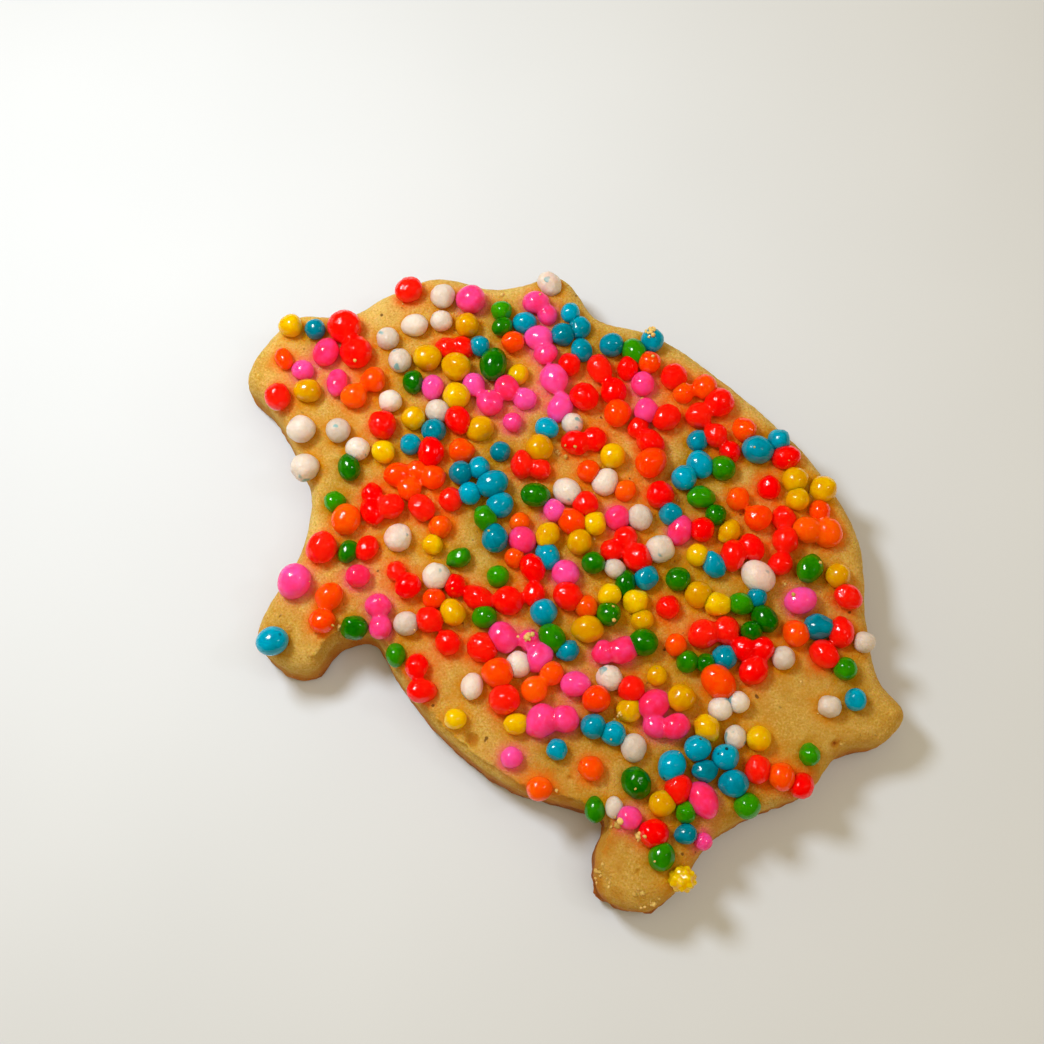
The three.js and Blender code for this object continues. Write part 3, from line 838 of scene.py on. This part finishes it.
def make_crumbs(outline, surfaces):
    """Small bits of dough, dropped on whatever they land on."""
    random = np.random.default_rng(CRUMB_SEED)
    places = [(mix(outline.min(0), outline.max(0), random.random(2)), 1.0) for _ in range(LOOSE_CRUMBS)]
    for x, y, spread, number in CRUMB_HEAPS:
        middle = np.array([x, y])
        places += [(middle + random.normal(0, spread / 2, 2), HEAP_CRUMB_SIZE) for _ in range(number)]
    ball, ball_faces = ball_mesh(2)
    points = []
    for place, size in places:
        radius = mix(*CRUMB_RADII, random.random() ** 2) * size
        landing = drop(place, surfaces)
        shape = ball * (1 + 0.7 * (random.random((len(ball), 1)) - 0.5)) * random.uniform(0.7, 1.3, 3)
        if landing is not None and locate(place, outline)[0]:
            points.append(shape * radius + landing + (0, 0, radius * 0.4))
    faces = np.concatenate([ball_faces + i * len(ball) for i in range(len(points))])
    crumbs = make_object("crumbs", np.concatenate(points), faces.tolist())
    set_points(crumbs, get_points(crumbs))
    finish_piece(crumbs, crumb_material())


def drop(place, surfaces):
    """The highest point of the surfaces at a place, in millimetres, or None beside them all."""
    above = Vector((place[0], place[1], 20)) * MM
    hits = [tree.ray_cast(above, Vector((0, 0, -1)))[0] for tree in surfaces]
    landings = [np.array(hit) / MM for hit in hits if hit is not None]
    return max(landings, key=lambda landing: landing[2]) if landings else None


# ---------- Materials ----------

# How far apart the light and dark places of each pattern lie.
DOUGH_GRAIN = 0.2
DOUGH_MOTTLE = 3.5
BAKED_SPOTS = 1.2
DYE_AND_SHADE_BLOTCHES = 0.6
DARK_SPECKS = 0.9
SPRINKLE_CLOUDS = 0.9
SPRINKLE_GRAIN = 0.25

GRAIN_CONTRAST = 0.7  # how far a grain of the dough takes on the pale or the deep colour
DOUGH_LIGHT_DEPTH = (1.4, 0.55, 0.12)  # how deep red, green and blue light go into the dough


def new_material(name):
    """A material, its node tree and its shader."""
    material = bpy.data.materials.new(name)
    material.use_nodes = True
    return material, material.node_tree, material.node_tree.nodes["Principled BSDF"]


def add_node(tree, kind, settings=None, **inputs):
    """A new node, with its inputs linked where they are sockets and set where they are values."""
    node = tree.nodes.new(kind)
    for name, value in (settings or {}).items():
        setattr(node, name, value)
    for name, value in inputs.items():
        feed(tree, node.inputs[name.replace("_", " ")], value)
    return node


def feed(tree, socket, value):
    if isinstance(value, bpy.types.NodeSocket):
        tree.links.new(value, socket)
    else:
        socket.default_value = value


def mix_colours(tree, factor, first, second):
    """Two colours mixed by a factor."""
    node = tree.nodes.new("ShaderNodeMix")
    node.data_type = "RGBA"
    factor_socket, first_socket, second_socket = node.inputs[0], node.inputs[6], node.inputs[7]
    feed(tree, factor_socket, factor)
    feed(tree, first_socket, first)
    feed(tree, second_socket, second)
    return node.outputs[2]


def add_texture(tree, kind, spacing, **inputs):
    """A texture that holds on to the piece, with a pattern this many millimetres apart."""
    coordinates = add_node(tree, "ShaderNodeTexCoord").outputs["Object"]
    return add_node(tree, kind, Vector=coordinates, Scale=1 / (spacing * MM), **inputs)


def noise_texture(tree, wavelength, detail):
    """Noise from about 0.3 to 0.7 with bumps about a wavelength apart, in millimetres."""
    return add_texture(tree, "ShaderNodeTexNoise", wavelength, Detail=detail).outputs["Fac"]


def dot_distance(tree, spacing):
    """How far it is to the nearest of many scattered dots, over their spacing, given in millimetres."""
    return add_texture(tree, "ShaderNodeTexVoronoi", spacing).outputs["Distance"]


def remap(tree, value, low, high, to_low=0.0, to_high=1.0):
    """A value carried from one range to another, and kept inside it."""
    inputs = {"From_Min": low, "From_Max": high, "To_Min": to_low, "To_Max": to_high}
    return add_node(tree, "ShaderNodeMapRange", Value=value, **inputs).outputs["Result"]


def read_attribute(tree, name):
    return add_node(tree, "ShaderNodeAttribute", {"attribute_name": name})


def math_node(tree, operation, first, second):
    node = tree.nodes.new("ShaderNodeMath")
    node.operation = operation
    feed(tree, node.inputs[0], first)
    feed(tree, node.inputs[1], second)
    return node.outputs[0]


def set_inputs(node, values):
    """Sets a node's inputs to numbers or colours that are the same all over."""
    for name, value in values.items():
        node.inputs[name].default_value = value


def add_bump(tree, shader, height, distance):
    """Fine relief in the shading, too small for the mesh to hold."""
    bump = add_node(tree, "ShaderNodeBump", Height=height, Distance=distance * MM, Strength=1.0)
    tree.links.new(bump.outputs["Normal"], shader.inputs["Normal"])


def dough_material():
    """Pale gold with light and dark grains, browner where it is baked and where shade is painted, and
    coloured round the sprinkles by their dye and painted shade.
    """
    material, tree, shader = new_material("dough")
    grain = noise_texture(tree, DOUGH_GRAIN, 3.0)
    mottle = remap(tree, noise_texture(tree, DOUGH_MOTTLE, 3.0), 0.35, 0.65)
    colour = mix_colours(tree, mottle, DOUGH_GOLD, DOUGH_PALE)
    colour = mix_colours(tree, remap(tree, grain, 0.52, 0.66, 0, GRAIN_CONTRAST), colour, CRUMB_PALE)
    colour = mix_colours(tree, remap(tree, grain, 0.46, 0.34, 0, GRAIN_CONTRAST), colour, DOUGH_DEEP)
    # Browning from baking, with painted shade in the pits, along the rear foot's edge and on the side
    # turned from the key lamp.
    bake_and_shade = read_attribute(tree, "bake_and_shade").outputs["Fac"]
    baked_spots = remap(tree, noise_texture(tree, BAKED_SPOTS, 4.0), 0.3, 0.7, -0.12, 0.12)
    uneven_bake_and_shade = math_node(tree, "ADD", bake_and_shade, baked_spots)
    colour = mix_colours(tree, remap(tree, uneven_bake_and_shade, 0.05, 0.5), colour, DOUGH_DEEP)
    colour = mix_colours(tree, remap(tree, uneven_bake_and_shade, 0.35, 0.85), colour, DOUGH_BROWN)
    colour = mix_colours(tree, remap(tree, uneven_bake_and_shade, 0.8, 1.1), colour, DOUGH_DARK)
    # The dye round the sprinkles, with painted amber shade next to them and a painted glow round those that
    # melt.
    dye_and_shade = read_attribute(tree, "dye_and_shade")
    blotchy = remap(tree, noise_texture(tree, DYE_AND_SHADE_BLOTCHES, 3.0), 0.3, 0.7, 0.7, 1.3)
    dyed_and_shaded = math_node(tree, "MULTIPLY", dye_and_shade.outputs["Alpha"], blotchy)
    colour = mix_colours(tree, dyed_and_shaded, colour, dye_and_shade.outputs["Color"])
    specks = remap(tree, noise_texture(tree, DARK_SPECKS, 1.0), 0.74, 0.78, 0, 0.8)
    colour = mix_colours(tree, specks, colour, DOUGH_SPECK)
    tree.links.new(colour, shader.inputs["Base Color"])
    tree.links.new(remap(tree, grain, 0.4, 0.62, 0.78, 0.62), shader.inputs["Roughness"])
    set_inputs(shader, {
        "Specular IOR Level": 0.12, "Subsurface Weight": 0.6, "Subsurface Radius": DOUGH_LIGHT_DEPTH,
        "Subsurface Scale": MM,
    })
    add_bump(tree, shader, noise_texture(tree, DOUGH_GRAIN * 1.1, 4.0), 0.24)
    return material


def crumb_material():
    """The dough's own colours, a little paler."""
    material, tree, shader = new_material("crumbs")
    tone = remap(tree, noise_texture(tree, 1.5, 2.0), 0.35, 0.65)
    colour = mix_colours(tree, tone, CRUMB_PALE, DOUGH_GOLD)
    tree.links.new(colour, shader.inputs["Base Color"])
    set_inputs(shader, {"Roughness": 0.7, "Subsurface Weight": 0.15, "Subsurface Scale": 0.4 * MM})
    add_bump(tree, shader, noise_texture(tree, 0.12, 2.0), 0.05)
    return material


def sprinkle_material(colour_name, look):
    """Glossy sugar that light goes into, cloudy in its colour, with spots on some of the white and teal."""
    material, tree, shader = new_material("sprinkles_" + colour_name)
    shade = read_attribute(tree, "shade").outputs["Fac"]
    clouds = remap(tree, noise_texture(tree, SPRINKLE_CLOUDS, 3.0), 0.3, 0.7, -0.3, 0.3)
    colour = mix_colours(tree, math_node(tree, "ADD", shade, clouds), look["dark"], look["light"])
    fine = noise_texture(tree, SPRINKLE_GRAIN, 3.0)
    if colour_name == "white":
        blue = remap(tree, noise_texture(tree, 1.3, 1.0), 0.68, 0.72, 0, 0.8)
        colour = mix_colours(tree, blue, colour, BLUE_SPOT)
        rosy = remap(tree, noise_texture(tree, 3.1, 2.0), 0.6, 0.72, 0, 0.4)
        colour = mix_colours(tree, rosy, colour, ROSY_SPOT)
    if colour_name == "teal":
        dots = remap(tree, dot_distance(tree, 1.1), 0.12, 0.16, 0.9, 0)
        speckled = remap(tree, shade, 0.8, 0.81)
        colour = mix_colours(tree, math_node(tree, "MULTIPLY", dots, speckled), colour, SPRINKLE_SPECK)
    tree.links.new(colour, shader.inputs["Base Color"])
    rough = look["roughness"]
    tree.links.new(remap(tree, fine, 0.3, 0.7, rough * 0.8, rough * 1.35), shader.inputs["Roughness"])
    set_inputs(shader, {
        "Specular IOR Level": 0.5, "Subsurface Weight": 1.0, "Subsurface Radius": look["depth"],
        "Subsurface Scale": MM,
    })
    add_bump(tree, shader, fine, look["grain"])
    return material


# ---------- Camera, floor and light ----------

IMAGE_SIDE = 1044  # pixels of the photograph, each way
FOCAL_PIXELS = 1474
SENSOR_WIDTH = 36.0
TILT = math.radians(16)  # how far the camera leans from looking straight down
TURN = math.radians(33)  # how far the picture's right lies round from +X
MARK = Vector((3.34, -1.39, 0))  # a place under the cookie, and the pixel where the photograph has it
MARK_PIXEL = (576, 596)
MARK_DISTANCE = 137.1  # from the camera's plane to the mark

FLOOR_REACH = 3000  # from the middle to each edge
DOME_RADIUS = 2940  # a little less, so that the floor runs into the dome
FLOOR_DEPTH = 0.02  # how far under the cookie the floor lies, so that the two don't share a plane

# Where each light comes from: shares of the picture's right, its up and straight out towards the camera.
KEY_FROM = (-0.5, 0.56, 0.75)
GLINT_FROM = (0.55, 0.2, 0.8)
FILL_FROM = (0.2, 0.2, 0.9)
KEY_COLOUR = (0.95, 0.99, 1.0)
GLINT_COLOUR = (1.0, 1.0, 1.0)
FILL_COLOUR = (0.97, 0.98, 1.0)
SURROUND_COLOUR = (1.0, 0.74, 0.33, 1.0)  # warm, as among baked things, which makes the shadows amber
SURROUND_STRENGTH = 0.53


def camera_axes():
    """The picture's right, up and inward directions."""
    right = Vector((math.cos(TURN), math.sin(TURN), 0))
    level = Vector((-math.sin(TURN), math.cos(TURN), 0))
    up = level * math.cos(TILT) + Vector((0, 0, math.sin(TILT)))
    return right, up, up.cross(right)


def make_camera():
    """The camera, placed so that the mark falls on its pixel of the photograph."""
    right, up, inward = camera_axes()
    across = (MARK_PIXEL[0] - IMAGE_SIDE / 2) / FOCAL_PIXELS
    down = (MARK_PIXEL[1] - IMAGE_SIDE / 2) / FOCAL_PIXELS
    place = MARK - (inward + right * across - up * down) * MARK_DISTANCE
    data = bpy.data.cameras.new("camera")
    data.sensor_width = SENSOR_WIDTH
    data.lens = FOCAL_PIXELS / IMAGE_SIDE * SENSOR_WIDTH
    data.clip_start = 0.005
    camera = bpy.data.objects.new("camera", data)
    turn = Matrix((right, up, -inward)).transposed().to_4x4()
    camera.matrix_world = Matrix.Translation(place * MM) @ turn
    bpy.context.scene.collection.objects.link(camera)
    bpy.context.scene.camera = camera


def make_floor():
    """A plain pale floor, faintly cloudy."""
    corners = [(-1, -1), (1, -1), (1, 1), (-1, 1)]
    points = [(x * FLOOR_REACH, y * FLOOR_REACH, -FLOOR_DEPTH) for x, y in corners]
    floor = make_object("floor", points, [(0, 1, 2, 3)])
    material, tree, shader = new_material("floor")
    tone = remap(tree, noise_texture(tree, 40.0, 2.0), 0.3, 0.7, 0.96, 1.0)
    tree.links.new(mix_colours(tree, tone, BLACK, FLOOR_COLOUR), shader.inputs["Base Color"])
    set_inputs(shader, {"Roughness": 0.8})
    floor.data.materials.append(material)


def make_backdrop():
    """A plain pale dome behind everything, which neither lights the cookie nor shades it."""
    ball, ball_faces = ball_mesh(5)
    dome = make_object("backdrop", ball * DOME_RADIUS, ball_faces.tolist())
    material, _, shader = new_material("backdrop")
    set_inputs(shader, {
        "Base Color": BLACK, "Specular IOR Level": 0.0, "Emission Color": BACKDROP_COLOUR,
        "Emission Strength": 1.0,
    })
    material.cycles.emission_sampling = "NONE"
    dome.data.materials.append(material)
    dome.visible_diffuse = False
    dome.visible_glossy = False
    dome.visible_shadow = False


def light_direction(shares):
    """Where a light comes from, as a direction with these shares of the picture's own directions."""
    right, up, inward = camera_axes()
    across, upwards, outward = shares
    return (right * across + up * upwards - inward * outward).normalized()


def make_light(name, kind, comes_from, energy, colour):
    """A light at the origin, turned so that it shines the way it does when it comes from a direction."""
    data = bpy.data.lights.new(name, kind)
    data.energy = energy
    data.color = colour
    light = bpy.data.objects.new(name, data)
    light.rotation_mode = "QUATERNION"
    light.rotation_quaternion = light_direction(comes_from).to_track_quat("Z", "Y")
    bpy.context.scene.collection.objects.link(light)
    return light


def make_lamp(name, comes_from, distance, width, power, colour):
    """A round lamp that shows in the sprinkles as a highlight."""
    lamp = make_light(name, "AREA", comes_from, power, colour)
    lamp.data.shape = "DISK"
    lamp.data.size = width * MM
    lamp.location = light_direction(comes_from) * distance * MM


def make_fill(comes_from, width_degrees, strength, colour):
    """Soft, even light all over the floor, which shows in nothing."""
    fill = make_light("fill", "SUN", comes_from, strength, colour)
    fill.data.angle = math.radians(width_degrees)
    fill.visible_glossy = False


def make_lights():
    """A near key lamp, a small far one for glints, a soft fill, and warm light from all round."""
    make_lamp("key", KEY_FROM, distance=150, width=38, power=0.15, colour=KEY_COLOUR)
    make_lamp("glint", GLINT_FROM, distance=360, width=36, power=0.05, colour=GLINT_COLOUR)
    make_fill(FILL_FROM, width_degrees=38, strength=0.5, colour=FILL_COLOUR)
    world = bpy.data.worlds.new("world")
    world.use_nodes = True
    background = world.node_tree.nodes["Background"]
    set_inputs(background, {"Color": SURROUND_COLOUR, "Strength": SURROUND_STRENGTH})
    world.cycles_visibility.glossy = False
    bpy.context.scene.world = world
    bpy.context.scene.view_settings.view_transform = "Standard"
    bpy.context.scene.view_settings.look = "None"


# ---------- The whole ----------


def make_cookie():
    """The dough, the sprinkles on it, and the crumbs on both."""
    rule_outline = closed_curve(STEPS_PER_POINT)
    smooth_outline = centred(closed_curve(SMOOTH_STEPS_PER_POINT), rule_outline)
    rule_outline = centred(rule_outline, rule_outline)
    sprinkles = strew_sprinkles(rule_outline)
    for sprinkle in sprinkles:
        sprinkle["centre"] = sprinkle_centre(sprinkle, rule_outline)
    colour_sprinkles(sprinkles)
    dough = make_dough(smooth_outline, sprinkles)
    toppings = make_all_sprinkles(sprinkles)
    scene_graph = bpy.context.evaluated_depsgraph_get()
    surfaces = [BVHTree.FromObject(piece, scene_graph) for piece in [dough] + toppings]
    make_crumbs(rule_outline, surfaces)


make_camera()
make_floor()
make_backdrop()
make_lights()
make_cookie()
